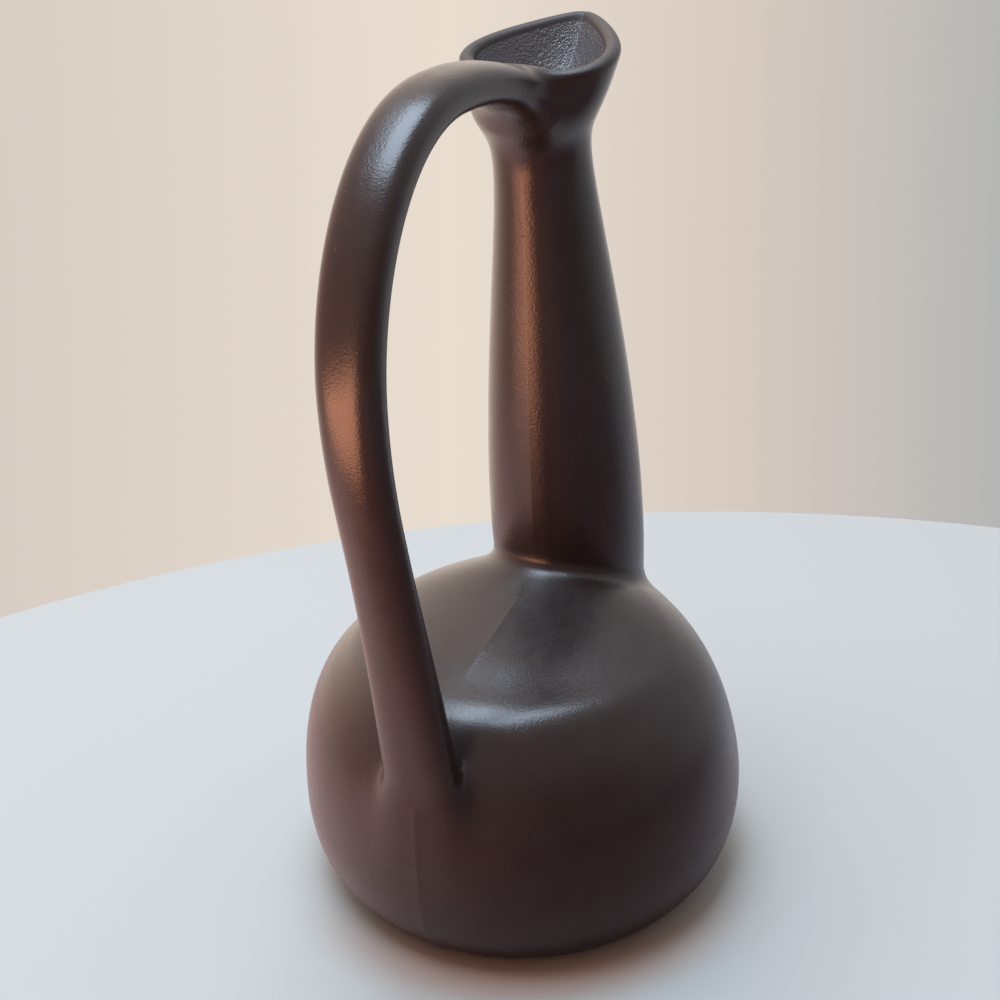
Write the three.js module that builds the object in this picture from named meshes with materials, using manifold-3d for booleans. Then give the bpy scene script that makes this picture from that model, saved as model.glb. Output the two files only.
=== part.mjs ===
// Ewer-shaped ceramic vase: a squat belly, an off-centre neck with a beaked lip, and a strap handle.
// Millimetres, +Z up. The origin is the middle of the flat underside, the handle is at -X, the beak at +X.
import * as THREE from 'three';
import Module from 'manifold-3d';

// Belly: flat foot, round side and ridge, and a shoulder that leans up towards the neck
const footRadius = 52.5;
const heelReach = 5.5;
const heelRise = 4.3;
const bellyRadius = 63.8;
const widestHeight = 27.7;
const sideDrop = 16;
const ridgeRiseFront = 63.5;
const ridgeRiseSide = 16.6;
const ridgeRiseBack = 17.2;
const shoulderInsetFront = 50.1;
const shoulderInsetSide = 0.9;
const shoulderInsetBack = 3.7;
const shoulderRiseFront = 46.3;
const shoulderRiseBack = 31.4;
const shoulderEggRatio = 0.41;
const crestHeight = 2;
const crestLeanAngle = 1.03;
const crestRowRatio = 0.4;
const crestTurnRatio = 0.68;
const crestSpreadRatio = 0.085;
const crestFadePower = 6;
const bellyWall = 4;
const floorThickness = 5;

// Neck joint: an oblique round seat on the shoulder, lower at the back
const neckOffset = 35.8;
const neckFootRadius = 22.1;
const neckJointRise = 49.6;
const neckJointDrop = 23;

// Neck: a swelling tube that narrows to a waist, then flares into the lip
const neckWall = 3.5;
const neckHeight = 126.3;
const neckSwell = 2.4;
const neckSwellRise = 39.4;
const neckSwellLean = 1.2;
const waistRadius = 13.1;
const waistLean = 10.6;
const waistEaseRadius = 3;
const waistEaseDrop = 33.9;
const waistEaseLean = 3.4;

// Lip: an egg-shaped mouth, drawn out to a beak at the back and tipped up towards it
const lipRise = 29;
const lipShift = 6.5;
const lipHalfLength = 22.7;
const lipHalfWidth = 19.9;
const lipTip = 5.5;
const lipEggRatio = 0.4;
const flareStart = 9.4;
const flareRise = 8.4;
const flareRadius = 13.5;
const flareShift = -5;

// Handle: a solid, soft-cornered strap from the shoulder's ridge, up past the lip and down to its front
const handleWidth = 17.1;
const handleThickness = 10.8;
const handleSquareness = 2.6;
const handleFootWidth = 20.1;
const handleRootWidth = 18.2;
const handleFootInset = 7;
const handleFootRise = 27.5;
const handleFootTail = 18;
const handleFootLean = 13.7;
const handleFootSweep = 85.2;
const handleOverhang = 13.1;
const bowDrop = 60.1;
const bowSweepDown = 27.7;
const bowSweepUp = 27.7;
const crownRise = 2.6;
const crownReach = 37.7;
const crownSweepOut = 31.4;
const crownSweepIn = 21.2;
const rootInset = 5.5;
const rootDrop = 5;
const rootRun = 10.6;
const rootFall = 4.5;
const handleFlare = 45;

// Coils of soft clay worked into the joints
const coilDepth = 7;
const coilEdge = 0.8;
const coilSink = 2;
const neckCoilReach = 2.8;
const neckCoilRise = 4;
const footCoilReach = 3;
const footCoilRise = 6;
const topCoilDepth = 2.5;
const topCoilReach = 3.6;
const topCoilRise = 7;
const coilFadeFromRatio = -0.75;
const coilFadeToRatio = 0.1;

// Clearance between pieces that touch, and how finely the round forms are cut
const jointGap = 0.3;
const segments = 40;
const sideBands = 6;
const shoulderBands = 20;
const liningStartRatio = 0.75;
const neckBands = 11;
const lipBands = 8;
const rimBands = 4;
const strapSides = 24;
const strapSteps = 40;
const coilBands = 5;
const probeStep = 1e-3;

// How closely the place where the handle meets a wall is looked for
const landingAngle = 0.8;
const landingBearings = 16;
const landingRows = 60;
const landingLengths = 100;
const landingRatio = 0.25;

// Bearings: the handle's side is the front, and round the strap the turn starts at its outer face
const FRONT = Math.PI;
const OUTER_FACE = 0;
const SIDE_FACE = Math.PI / 2;
const INNER_FACE = Math.PI;
const CREST = Math.PI / 2;
const TURN = 2 * Math.PI;

// Heights and places that follow from the sizes above
const jointHeight = widestHeight + neckJointRise;
const waistHeight = jointHeight + neckHeight;
const waistX = neckOffset - waistLean;
const lipHeight = waistHeight + lipRise;
const lipX = waistX + lipShift;
const lipFrontX = lipX - lipHalfLength;
const lipFrontHeight = lipHeight - lipTip / 2;

// Surfaces

function cubic(p0, p1, p2, p3, t) {
  return new THREE.CubicBezierCurve3(p0, p1, p2, p3).getPoint(t);
}

// A value that is set at the front, the sides and the back, and changes smoothly between them
function byBearing(front, side, back, angle) {
  const sway = (back - front) / 2;
  const squeeze = ((front + back) / 2 - side) / 2;
  return side + squeeze + sway * Math.cos(angle) + squeeze * Math.cos(2 * angle);
}

function aroundAxis(radius, height, angle) {
  return new THREE.Vector3(radius * Math.cos(angle), radius * Math.sin(angle), height);
}

// The seat that belly and neck share: a ring round the neck's axis, lower at the back
function jointPoint(radius, lift, angle) {
  const fall = (neckJointDrop / 2) * Math.cos(angle);
  const seat = aroundAxis(radius, jointHeight - fall + lift, angle);
  seat.x += neckOffset;
  return seat;
}

// Crest of the ridge: it runs round the front of the shoulder and fades out towards the sides
function crestLift(high, angle) {
  const crestRow = crestRowRatio + crestTurnRatio * (1 + Math.cos(angle));
  const frontShare = ((1 - Math.cos(angle)) / 2) ** crestFadePower;
  const lift = crestHeight * frontShare * Math.exp(-(((high - crestRow) / crestSpreadRatio) ** 2));
  return aroundAxis(lift * Math.cos(crestLeanAngle), lift * Math.sin(crestLeanAngle), angle);
}

// Outside of the belly: 0 to 1 runs from the foot to the widest ring, 1 to 2 over the ridge to the seat
function bellySkin(along, angle) {
  if (along <= 1) {
    return cubic(
      aroundAxis(footRadius, 0, angle),
      aroundAxis(footRadius + heelReach, heelRise, angle),
      aroundAxis(bellyRadius, widestHeight - sideDrop, angle),
      aroundAxis(bellyRadius, widestHeight, angle),
      along,
    );
  }
  const ridgeRise = byBearing(ridgeRiseFront, ridgeRiseSide, ridgeRiseBack, angle);
  const shoulderRise = (shoulderRiseFront + shoulderRiseBack) / 2;
  const shoulderTip = (shoulderRiseFront - shoulderRiseBack) / 2;
  const shoulderLength = bellyRadius - (shoulderInsetFront + shoulderInsetBack) / 2;
  const shoulderWidth = (bellyRadius - shoulderInsetSide) * (1 - shoulderEggRatio * Math.cos(angle));
  const shoulder = new THREE.Vector3(
    (shoulderInsetFront - shoulderInsetBack) / 2 + shoulderLength * Math.cos(angle),
    shoulderWidth * Math.sin(angle),
    widestHeight + shoulderRise - shoulderTip * Math.cos(angle),
  );
  return cubic(
    aroundAxis(bellyRadius, widestHeight, angle),
    aroundAxis(bellyRadius, widestHeight + ridgeRise, angle),
    shoulder,
    jointPoint(neckFootRadius, 0, angle),
    along - 1,
  ).add(crestLift(along - 1, angle));
}

// One ring of the neck: its middle, half length and width, height, front-to-back tip and egg shape
function neckRing(x, length, width, height, tip, egg) {
  return { x, length, width, height, tip, egg };
}

const seatRing = neckRing(neckOffset, neckFootRadius, neckFootRadius, jointHeight, -neckJointDrop, 0);
const swellRadius = neckFootRadius + neckSwell;
const swellX = neckOffset - neckSwellLean;
const swellRing = neckRing(swellX, swellRadius, swellRadius, jointHeight + neckSwellRise, 0, 0);
const easeRadius = waistRadius + waistEaseRadius;
const easeRing = neckRing(waistX + waistEaseLean, easeRadius, easeRadius, waistHeight - waistEaseDrop, 0, 0);
const waistRing = neckRing(waistX, waistRadius, waistRadius, waistHeight, 0, 0);
const flareStartRing = neckRing(waistX, waistRadius, waistRadius, waistHeight + flareStart, 0, 0);
const flareHeight = waistHeight + flareRise;
const flareX = waistX + flareShift;
const flareRing = neckRing(flareX, flareRadius, flareRadius, flareHeight, lipTip / 2, lipEggRatio / 2);
const lipRing = neckRing(lipX, lipHalfLength, lipHalfWidth, lipHeight, lipTip, lipEggRatio);

// Outside of the neck: 0 to 1 runs from the seat to the waist, 1 to 2 from the waist to the lip's edge
function neckSkin(along, angle) {
  const below = [seatRing, swellRing, easeRing, waistRing];
  const above = [waistRing, flareStartRing, flareRing, lipRing];
  const rings = along <= 1 ? below : above;
  const t = along <= 1 ? along : along - 1;
  const weights = [(1 - t) ** 3, 3 * t * (1 - t) ** 2, 3 * t ** 2 * (1 - t), t ** 3];
  const mix = (key) => rings.reduce((sum, ring, i) => sum + weights[i] * ring[key], 0);
  return new THREE.Vector3(
    mix('x') + mix('length') * Math.cos(angle),
    mix('width') * Math.sin(angle) * (1 - mix('egg') * Math.cos(angle)),
    mix('height') + (mix('tip') / 2) * Math.cos(angle),
  );
}

// Middle line of the handle, in the XZ plane, from inside the belly to inside the lip's wall
function handlePath() {
  const at = (x, z) => new THREE.Vector3(x, 0, z);
  const footX = handleFootInset - bellyRadius;
  const footZ = widestHeight + handleFootRise;
  const bowX = -bellyRadius - handleOverhang;
  const crownX = lipFrontX - crownReach;
  const crownZ = lipHeight + crownRise;
  const bowZ = crownZ - bowDrop;
  const rootX = lipFrontX + rootInset;
  const rootZ = lipFrontHeight - rootDrop;
  const down = new THREE.Vector2(handleFootLean, -handleFootSweep).setLength(handleFootTail);
  const path = new THREE.CurvePath();
  path.add(new THREE.LineCurve3(at(footX + down.x, footZ + down.y), at(footX, footZ)));
  path.add(new THREE.CubicBezierCurve3(
    at(footX, footZ), at(footX - handleFootLean, footZ + handleFootSweep),
    at(bowX, bowZ - bowSweepDown), at(bowX, bowZ),
  ));
  path.add(new THREE.CubicBezierCurve3(
    at(bowX, bowZ), at(bowX, bowZ + bowSweepUp),
    at(crownX - crownSweepOut, crownZ), at(crownX, crownZ),
  ));
  path.add(new THREE.CubicBezierCurve3(
    at(crownX, crownZ), at(crownX + crownSweepIn, crownZ),
    at(rootX - rootRun, rootZ + rootFall), at(rootX, rootZ),
  ));
  return path;
}

const strap = handlePath();
const strapLength = strap.getLength();

// Outside of the handle, by the length along it: angle 0 is its outer face, a half turn its inner face
function handleSkin(length, angle) {
  const reached = THREE.MathUtils.clamp(length / strapLength, 0, 1);
  const middle = strap.getPointAt(reached);
  const tangent = strap.getTangentAt(reached);
  const outward = new THREE.Vector3(-tangent.z, 0, tangent.x);
  const footShare = Math.max(0, 1 - (length - handleFootTail) / handleFlare);
  const rootShare = Math.max(0, 1 - (strapLength - length) / handleFlare);
  const width = handleWidth
    + (handleFootWidth - handleWidth) * Math.min(1, footShare) ** 2
    + (handleRootWidth - handleWidth) * rootShare ** 2;
  const squared = (share) => Math.sign(share) * Math.abs(share) ** (2 / handleSquareness);
  middle.addScaledVector(outward, (handleThickness / 2) * squared(Math.cos(angle)));
  middle.y -= (width / 2) * squared(Math.sin(angle));
  return middle;
}

// Outward normal of a surface, taken across a small step each way
function skinNormal(skin, along, angle) {
  const across = skin(along, angle + probeStep).sub(skin(along, angle - probeStep));
  const up = skin(along + probeStep, angle).sub(skin(along - probeStep, angle));
  return across.cross(up).normalize();
}

// Rings, lofts and booleans

function ring(count, pointAt) {
  return Array.from({ length: count }, (unused, i) => pointAt((i / count) * TURN));
}

function skinRing(skin, along, offset = 0) {
  const place = (angle) => skin(along, angle).addScaledVector(skinNormal(skin, along, angle), offset);
  return ring(segments, place);
}

function steps(from, to, count) {
  return Array.from({ length: count + 1 }, (unused, i) => from + ((to - from) * i) / count);
}

function enclosedVolume(points, faces) {
  let total = 0;
  for (const [a, b, c] of faces) {
    total += points[a].dot(points[b].clone().cross(points[c])) / 6;
  }
  return total;
}

// A closed body through the rings: its ends are capped, or joined when it is hollow right through
function loft(rings, joined = false) {
  const count = rings[0].length;
  const points = rings.flat();
  const faces = [];
  const bands = joined ? rings.length : rings.length - 1;
  for (let i = 0; i < bands; i += 1) {
    const low = i * count;
    const high = ((i + 1) % rings.length) * count;
    for (let j = 0; j < count; j += 1) {
      const next = (j + 1) % count;
      faces.push([low + j, low + next, high + next], [low + j, high + next, high + j]);
    }
  }
  if (!joined) {
    const last = (rings.length - 1) * count;
    const middles = [rings[0], rings.at(-1)].map((edge) => (
      edge.reduce((sum, p) => sum.add(p), new THREE.Vector3()).divideScalar(count)
    ));
    const under = points.push(middles[0]) - 1;
    const over = points.push(middles[1]) - 1;
    for (let j = 0; j < count; j += 1) {
      const next = (j + 1) % count;
      faces.push([under, next, j], [over, last + j, last + next]);
    }
  }
  const inverted = enclosedVolume(points, faces) < 0;
  const geometry = new THREE.BufferGeometry().setFromPoints(points);
  geometry.setIndex(faces.flatMap(([a, b, c]) => (inverted ? [a, c, b] : [a, b, c])));
  return geometry;
}

const wasm = await Module();
wasm.setup();

function solid(geometry) {
  const vertProperties = new Float32Array(geometry.attributes.position.array);
  const triVerts = new Uint32Array(geometry.index.array);
  return new wasm.Manifold(new wasm.Mesh({ numProp: 3, vertProperties, triVerts }));
}

function geometryOf(manifold) {
  const { vertProperties, triVerts } = manifold.getMesh();
  const geometry = new THREE.BufferGeometry();
  geometry.setAttribute('position', new THREE.BufferAttribute(new Float32Array(vertProperties), 3));
  geometry.setIndex(Array.from(triVerts));
  return geometry;
}

// Belly: the outside, the seat, the bore through the shoulder, the shoulder's underside and the floor

const sideSteps = steps(0, 1, sideBands);
const shoulderSteps = steps(1, 2, shoulderBands);
const bellySteps = [...sideSteps, ...shoulderSteps.slice(1)];

function bellyShell() {
  const outside = bellySteps.slice(0, -1).map((along) => skinRing(bellySkin, along));
  const seatEdge = ring(segments, (angle) => jointPoint(neckFootRadius, 0, angle));
  const boreRadius = neckFootRadius - neckWall;
  const boreTop = ring(segments, (angle) => jointPoint(boreRadius, 0, angle));
  const boreBottom = ring(segments, (angle) => jointPoint(boreRadius, -bellyWall, angle));
  const lined = [liningStartRatio, ...shoulderSteps.slice(0, -1)].reverse();
  const inside = lined.map((along) => skinRing(bellySkin, along, -bellyWall));
  const floorEdge = ring(segments, (angle) => aroundAxis(footRadius - bellyWall / 2, floorThickness, angle));
  return loft([...outside, seatEdge, boreTop, boreBottom, ...inside, floorEdge]);
}

// The whole belly without its hollow, grown by the joint gap, to cut what sits on it
function bellyFilled() {
  const grown = bellySteps.map((along) => skinRing(bellySkin, along, jointGap));
  return solid(loft(grown));
}

// Neck: the outside up to the lip, the rounded rim, and the bore down to the seat

const neckSteps = [...steps(0, 1, neckBands), ...steps(1, 2, lipBands).slice(1)];
const neckStepPerLength = 1 / (3 * neckSwellRise);
const belowSeat = -coilDepth * neckStepPerLength;
const rimTurns = steps(0, Math.PI, rimBands).slice(1, -1);

// A ring on the rim, which is half round over the wall's thickness
function rimRing(turn, offset = 0) {
  const lip = 2;
  const half = neckWall / 2;
  return ring(segments, (angle) => {
    const normal = skinNormal(neckSkin, lip, angle);
    const up = neckSkin(lip, angle).sub(neckSkin(lip - probeStep, angle)).normalize();
    return neckSkin(lip, angle)
      .addScaledVector(normal, (half + offset) * Math.cos(turn) - half)
      .addScaledVector(up, (half + offset) * Math.sin(turn));
  });
}

function neckTube() {
  const seatOutside = ring(segments, (angle) => jointPoint(neckFootRadius, jointGap, angle));
  const seatInside = ring(segments, (angle) => jointPoint(neckFootRadius - neckWall, jointGap, angle));
  const above = neckSteps.slice(1);
  const outside = above.map((along) => skinRing(neckSkin, along));
  const rim = rimTurns.map((turn) => rimRing(turn));
  const inside = above.toReversed().map((along) => skinRing(neckSkin, along, -neckWall));
  return loft([seatOutside, ...outside, ...rim, ...inside, seatInside], true);
}

// The neck without its bore, grown by the joint gap, to cut what leans on it. It runs on below its seat and
// straight up from the rim's crest, so that nothing hangs over the mouth
function neckFilled() {
  const grown = [belowSeat, ...neckSteps].map((along) => skinRing(neckSkin, along, jointGap));
  const rim = rimTurns.filter((turn) => turn <= CREST).map((turn) => rimRing(turn, jointGap));
  const overMouth = rim.at(-1).map((p) => p.clone().setZ(p.z + handleThickness));
  return solid(loft([...grown, ...rim, overMouth]));
}

// Handle: a strap of changing width, cut to a saddle at the belly and at the lip

function strapRing(length, offset) {
  return ring(strapSides, (angle) => {
    const within = THREE.MathUtils.clamp(length, probeStep, strapLength - probeStep);
    return handleSkin(length, angle).addScaledVector(skinNormal(handleSkin, within, angle), offset);
  });
}

function strapSolid(offset) {
  return solid(loft(steps(0, strapLength, strapSteps).map((length) => strapRing(length, offset))));
}

// Coils: a collar round a joint, thickest in the angle and fading out where the two pieces run on smoothly

// Length along the handle, all the way round it, at which it meets the front of the piece that carries it
function landingRound(skin, from, to) {
  const bearings = steps(FRONT - landingAngle, FRONT + landingAngle, landingBearings);
  const rows = steps(0, 2, landingRows);
  const wall = bearings.flatMap((bearing) => rows.map((along) => skin(along, bearing)));
  const lengths = steps(from, to, landingLengths);
  const landing = (angle) => {
    const gaps = lengths.map((length) => {
      const place = handleSkin(length, angle);
      return wall.reduce((least, p) => Math.min(least, p.distanceToSquared(place)), Infinity);
    });
    return lengths[gaps.indexOf(Math.min(...gaps))];
  };
  const [inner, side, outer] = [INNER_FACE, SIDE_FACE, OUTER_FACE].map(landing);
  return (angle) => byBearing(inner, side, outer, angle);
}

// 1 on the side that faces the inner angle of a joint, falling to 0 on the side that runs on smoothly
function innerSide(angle) {
  return THREE.MathUtils.smoothstep(-Math.cos(angle), coilFadeFromRatio, coilFadeToRatio);
}

function collar(count, carrier, depth, reach, rise) {
  const lifts = [-depth, -depth / 2, ...steps(0, rise, coilBands)];
  const rings = lifts.map((lift) => {
    const carried = ring(count, (angle) => carrier(lift, angle));
    const middle = carried.reduce((sum, p) => sum.add(p), new THREE.Vector3()).divideScalar(count);
    return ring(count, (angle) => {
      const place = carrier(lift, angle);
      const normal = skinNormal(carrier, lift, angle);
      const side = Math.sign(normal.dot(place.clone().sub(middle)));
      const slope = (1 - Math.max(0, lift) / rise) ** 2;
      const full = coilEdge + (reach - coilEdge) * slope;
      return place.addScaledVector(normal, side * THREE.MathUtils.lerp(-coilSink, full, innerSide(angle)));
    });
  });
  return solid(loft(rings));
}

const onNeck = (lift, angle) => neckSkin(lift * neckStepPerLength, angle);
const footLanding = landingRound(bellySkin, 0, strapLength * landingRatio);
const onHandleFoot = (lift, angle) => handleSkin(footLanding(angle) + lift, angle);
const topLanding = landingRound(neckSkin, strapLength * (1 - landingRatio), strapLength - topCoilDepth);
const onHandleTop = (lift, angle) => handleSkin(topLanding(angle) - lift, angle);

// Assembly

const belly = bellyFilled();
const neck = neckFilled();
const handle = strapSolid(0).subtract(belly).subtract(neck);
const handleGrown = strapSolid(jointGap);
const neckCoil = collar(segments, onNeck, coilDepth, neckCoilReach, neckCoilRise);
const footCoil = collar(strapSides, onHandleFoot, coilDepth, footCoilReach, footCoilRise);
const topCoil = collar(strapSides, onHandleTop, topCoilDepth, topCoilReach, topCoilRise);

const burnishedClay = { color: '#43322d', roughness: 0.4, metalness: 0 };
const jointClay = { color: '#3f2f2b', roughness: 0.45, metalness: 0 };

const pieces = [
  ['belly', bellyShell(), burnishedClay],
  ['neck', neckTube(), burnishedClay],
  ['handle', geometryOf(handle), burnishedClay],
  ['neck_joint_coil', geometryOf(neckCoil.subtract(neck).subtract(belly)), jointClay],
  ['handle_foot_coil', geometryOf(footCoil.subtract(handleGrown).subtract(belly)), jointClay],
  ['handle_top_coil', geometryOf(topCoil.subtract(handleGrown).subtract(neck)), jointClay],
];

const vase = new THREE.Group();
vase.name = 'ceramic_vase';
for (const [name, geometry, finish] of pieces) {
  const piece = new THREE.Mesh(geometry, new THREE.MeshStandardMaterial(finish));
  piece.name = name;
  vase.add(piece);
}

export default vase;
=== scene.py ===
# Ewer-shaped ceramic vase: a squat belly, an off-centre neck with a beaked lip, and a strap handle.
import math

import bpy
import numpy as np
from mathutils import Matrix, Vector, noise
from mathutils.bvhtree import BVHTree
from mathutils.interpolate import poly_3d_calc


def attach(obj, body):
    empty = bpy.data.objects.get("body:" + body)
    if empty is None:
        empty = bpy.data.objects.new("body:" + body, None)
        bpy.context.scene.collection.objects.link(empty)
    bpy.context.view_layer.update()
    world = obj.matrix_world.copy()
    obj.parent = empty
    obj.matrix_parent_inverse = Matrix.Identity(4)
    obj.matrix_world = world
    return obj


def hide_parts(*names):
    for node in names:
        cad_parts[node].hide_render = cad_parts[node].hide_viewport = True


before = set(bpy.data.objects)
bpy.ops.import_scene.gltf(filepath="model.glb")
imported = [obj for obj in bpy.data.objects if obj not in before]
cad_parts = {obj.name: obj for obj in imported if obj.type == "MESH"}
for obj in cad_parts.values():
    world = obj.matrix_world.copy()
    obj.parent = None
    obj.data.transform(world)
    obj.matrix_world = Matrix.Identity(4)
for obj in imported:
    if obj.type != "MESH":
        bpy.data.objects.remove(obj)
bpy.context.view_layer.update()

# Sizes are in millimetres, as a potter would take them off the piece, and become metres in the meshes
MM = 0.001

# Belly: flat foot, round side and ridge, and a shoulder that leans up towards the neck
FOOT_RADIUS = 52.5
HEEL_REACH = 5.5
HEEL_RISE = 4.3
BELLY_RADIUS = 63.8
WIDEST_HEIGHT = 27.7
SIDE_DROP = 16.0
RIDGE_RISE_FRONT = 63.5
RIDGE_RISE_SIDE = 16.6
RIDGE_RISE_BACK = 17.2
SHOULDER_INSET_FRONT = 50.1
SHOULDER_INSET_SIDE = 0.9
SHOULDER_INSET_BACK = 3.7
SHOULDER_RISE_FRONT = 46.3
SHOULDER_RISE_BACK = 31.4
SHOULDER_EGG = 0.41
BELLY_WALL = 4.0
FLOOR_THICKNESS = 5.0
FOOT_EDGE = 1.4

# Ridge: a crest round the front of the shoulder
CREST_HEIGHT = 2.0
CREST_LEAN = 1.03
CREST_ROW = 0.4
CREST_TURN = 0.68
CREST_SPREAD = 0.085
CREST_FADE = 6

# Neck: an oblique round seat, a swelling tube, a waist and a flared lip drawn out to a beak
NECK_OFFSET = 35.8
NECK_FOOT_RADIUS = 22.1
NECK_JOINT_RISE = 49.6
NECK_JOINT_DROP = 23.0
NECK_WALL = 3.5
NECK_HEIGHT = 115.3
NECK_SWELL = 2.4
NECK_SWELL_RISE = 39.4
NECK_SWELL_LEAN = 1.2
WAIST_RADIUS = 14.2
WAIST_LEAN = 8.8
WAIST_EASE_RADIUS = 2.4
WAIST_EASE_DROP = 22.8
WAIST_EASE_LEAN = 2.7
LIP_RISE = 40.0
LIP_SHIFT = 4.7
LIP_HALF_LENGTH = 22.7
LIP_HALF_WIDTH = 19.9
LIP_TIP = 5.5
LIP_EGG = 0.4
FLARE_START_SHARE = 1.2
FLARE_RISE = 18.0
FLARE_RADIUS = 15.7
FLARE_SHIFT = -4.0
LIP_WALL = 4.2

# Handle: a solid, soft-cornered strap from the shoulder's ridge, up past the lip and down to its front
HANDLE_WIDTH = 17.1
HANDLE_THICKNESS = 10.6
HANDLE_SQUARENESS = 2.6
HANDLE_ROUNDED = 1.9
ROUNDED_HEIGHT = 135.0
ROUNDED_REACH = 45.0
HANDLE_FOOT_WIDTH = 22.6
HANDLE_ROOT_WIDTH = 18.2
HANDLE_FOOT_INSET = 7.0
HANDLE_FOOT_RISE = 27.5
HANDLE_FOOT_TAIL = 30.0
HANDLE_FOOT_LEAN = 13.7
HANDLE_FOOT_SWEEP = 85.2
HANDLE_OVERHANG = 13.1
BOW_DROP = 60.1
BOW_SWEEP_DOWN = 27.7
BOW_SWEEP_UP = 27.7
CROWN_RISE = 2.6
CROWN_REACH = 37.7
CROWN_SWEEP_OUT = 31.4
CROWN_SWEEP_IN = 21.2
ROOT_INSET = 5.5
ROOT_DROP = 5.0
ROOT_RUN = 10.6
ROOT_FALL = 4.5
FOOT_FLARE = 100.0
ROOT_FLARE = 45.0

# Joints: reach of the worked clay, depth in the neighbour's wall, and where a piece stops swelling
NECK_FILLET = 5.0
COIL_FULLNESS = 0.7
FOOT_FILLET_LOW = 11.0
FOOT_FILLET_HIGH = 4.0
FOOT_FILLET_FROM = 52.0
FOOT_FILLET_TO = 72.0
ROOT_FILLET_LOW = 20.0
ROOT_FILLET_HIGH = 9.0
ROOT_FILLET_FROM = 214.0
ROOT_FILLET_TO = 232.0
SEAT_DEPTH = 2.0
PASSED = 0.6
HELD = 0.35

# Mould seam in the mirror plane: its size, where it stops, and the length over which it fades out there
SEAM_HEIGHT = 0.3
SEAM_HALF_WIDTH = 2.2
SEAM_STOP_AT_NECK = 5.0
SEAM_FADE_AT_NECK = 7.0
SEAM_START_BEHIND_HANDLE = -34.0
SEAM_FADE_BEHIND_HANDLE = 12.0
SEAM_FADE_ABOVE_JOINT = 8.0
SEAM_STOP_BELOW_LIP = 14.0
SEAM_FADE_BELOW_LIP = 12.0

# Crease that the beak's two sides make where they meet inside, and the row of the neck where it starts
CREASE_DEPTH = 1.6
CREASE_HALF_WIDTH = 3.0
CREASE_START = 1.25

# Curdled glaze inside the lip: how far apart its pebbles are, how high, and the rows over which they fade
PEBBLE_SIZE = 0.9
PEBBLE_HEIGHT = 0.14
PEBBLE_FADE_AT_WAIST = 0.2
PEBBLE_FADE_AT_RIM = 0.06

# Length of skin that one whole row would cover at the heel
HEEL_ROW_LENGTH = 20.0

# Flat rings under the foot and on the floor inside
UNDERSIDE_RADII = (12.0, 30.0, 46.0)
INNER_FLOOR_RADII = (FOOT_RADIUS - BELLY_WALL / 2, 30.0, 12.0)

# How finely the round forms are cut, and the rows at which the belly's lining and the neck's tube start
BELLY_SEGMENTS = 400
NECK_SEGMENTS = 288
FRONT_CROWDING = 0.45
FOOT_EDGE_ROWS = 5
SIDE_ROWS = 48
SHOULDER_ROWS = 110
LINING_START = 0.75
LINING_SIDE_ROWS = 3
LINING_SHOULDER_ROWS = 14
TUBE_START = -0.02
TUBE_ROWS = 84
FLARE_ROWS = 72
RIM_ROWS = 17
BORE_ROWS = 24
MOUTH_ROWS = 80
COIL_ROWS = 19
PATH_STEPS = 96
STRAP_RINGS = 540
STRAP_SIDES = 112
FOOT_RINGS = STRAP_RINGS // 4
ROOT_RINGS = STRAP_RINGS // 6

# Rows at the rim that are still burnished, and rows of the liner below it that are still bare
BURNISHED_RIM_ROWS = 2
BARE_LINER_ROWS = 1

# Small steps: along a surface to take its direction, the error left in a worked joint, and next to nothing
STEP = 1e-3
NEAR_ENOUGH = 2e-3
TINY = 1e-6

FRONT = math.pi
JOINT_HEIGHT = WIDEST_HEIGHT + NECK_JOINT_RISE
WAIST_HEIGHT = JOINT_HEIGHT + NECK_HEIGHT
WAIST_X = NECK_OFFSET - WAIST_LEAN
LIP_HEIGHT = WAIST_HEIGHT + LIP_RISE
LIP_X = WAIST_X + LIP_SHIFT
LIP_FRONT_X = LIP_X - LIP_HALF_LENGTH
LIP_FRONT_HEIGHT = LIP_HEIGHT - LIP_TIP / 2


# Surfaces

def mixed(t, *values):
    """Four values, or four places, mixed as a cubic curve mixes its handles."""
    weights = ((1 - t) ** 3, 3 * t * (1 - t) ** 2, 3 * t ** 2 * (1 - t), t ** 3)
    return sum(w * v for w, v in zip(weights, values))


def place(x, y, z):
    """Places, each coordinate one number or an array of them."""
    return np.stack(np.broadcast_arrays(x, y, z), axis=-1).astype(float)


def by_bearing(front, side, back, angle):
    """A value that is set at the front, the sides and the back, and changes smoothly between them."""
    sway = (back - front) / 2
    squeeze = ((front + back) / 2 - side) / 2
    return side + squeeze + sway * np.cos(angle) + squeeze * np.cos(2 * angle)


def around_axis(radius, height, angle):
    """Places round the belly's upright axis."""
    return place(radius * np.cos(angle), radius * np.sin(angle), height)


def joint_ring(radius, lift, angle):
    """The seat that belly and neck share: a ring round the neck's axis, lower at the back."""
    fall = NECK_JOINT_DROP / 2 * np.cos(angle)
    return around_axis(radius, JOINT_HEIGHT - fall + lift, angle) + place(NECK_OFFSET, 0, 0)


def crest_lift(high, angle):
    """Crest of the ridge: it runs round the front of the shoulder and fades out towards the sides."""
    crest_row = CREST_ROW + CREST_TURN * (1 + np.cos(angle))
    front_share = ((1 - np.cos(angle)) / 2) ** CREST_FADE
    lift = CREST_HEIGHT * front_share * np.exp(-((high - crest_row) / CREST_SPREAD) ** 2)
    return around_axis(lift * math.cos(CREST_LEAN), lift * math.sin(CREST_LEAN), angle)


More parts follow.
